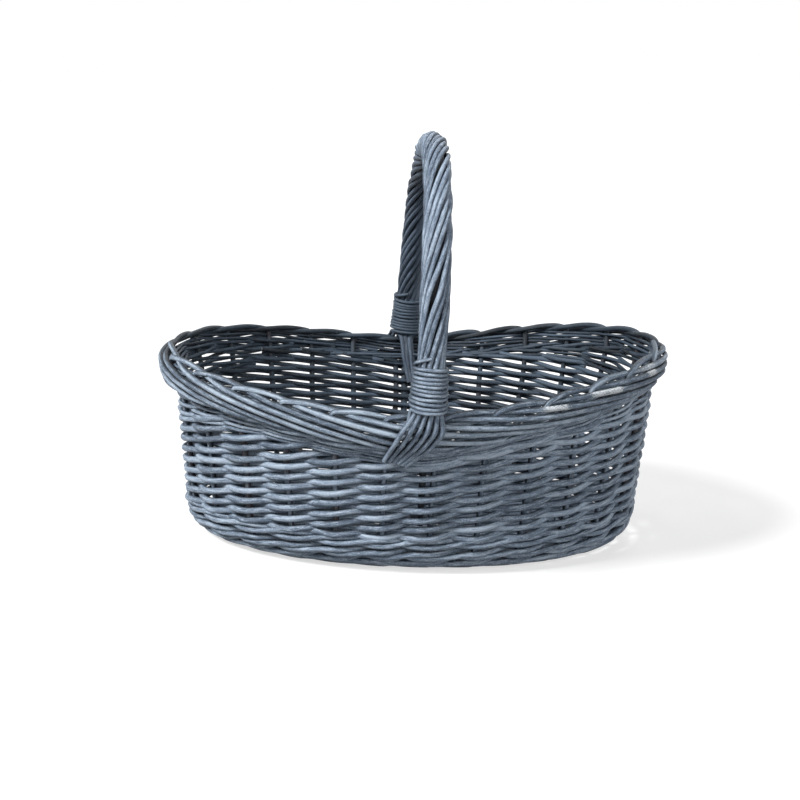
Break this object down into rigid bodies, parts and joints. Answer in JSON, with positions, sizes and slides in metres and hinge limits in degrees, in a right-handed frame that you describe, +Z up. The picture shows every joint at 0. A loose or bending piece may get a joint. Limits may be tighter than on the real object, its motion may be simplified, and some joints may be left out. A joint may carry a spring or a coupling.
{
  "type": "wicker shopping basket",
  "caption": "Oval woven willow shopping basket with a rolled border higher at its ends and one fixed roped handle, bound at both feet.",
  "frame": {"origin": "middle of the underside, on the floor", "axes": "+X along the basket's length, +Y across it from the front to the back, +Z up"},
  "size_m": [0.4364, 0.3463, 0.3517],
  "materials": {
    "stake": "stained willow, worn pale in places",
    "weave": "stained willow, streaky",
    "wale": "stained willow, streaky",
    "base": "stained willow, streaky",
    "stick": "willow, thinly stained",
    "bow": "willow, thinly stained",
    "rope": "stained willow, satin",
    "binding": "stained willow, satin"
  },
  "bodies": {
    "root": {"base_long_stick_1": "stick", "base_long_stick_2": "stick", "base_long_stick_3": "stick", "base_short_stick_1": "stick", "base_short_stick_2": "stick", "base_short_stick_3": "stick", "base_short_stick_4": "stick", "base_short_stick_5": "stick", "base_short_stick_6": "stick", "base_short_stick_7": "stick", "base_weave": "base", "stake_01": "stake", "stake_02": "stake", "stake_03": "stake", "stake_04": "stake", "stake_05": "stake", "stake_06": "stake", "stake_07": "stake", "stake_08": "stake", "stake_09": "stake", "stake_10": "stake", "stake_11": "stake", "stake_12": "stake", "stake_13": "stake", "stake_14": "stake", "stake_15": "stake", "stake_16": "stake", "stake_17": "stake", "stake_18": "stake", "stake_19": "stake", "stake_20": "stake", "stake_21": "stake", "stake_22": "stake", "stake_23": "stake", "stake_24": "stake", "stake_25": "stake", "stake_26": "stake", "upsett_wale": "wale", "side_weave": "weave", "top_wale": "wale", "handle_bow": "bow", "handle_rope_01": "rope", "handle_rope_02": "rope", "handle_rope_03": "rope", "handle_rope_04": "rope", "handle_rope_05": "rope", "handle_rope_06": "rope", "handle_rope_07": "rope", "handle_rope_08": "rope", "handle_rope_09": "rope", "handle_rope_10": "rope", "handle_rope_11": "rope", "handle_rope_12": "rope", "handle_binding_front": "binding", "handle_binding_back": "binding"}
  },
  "joints": []
}
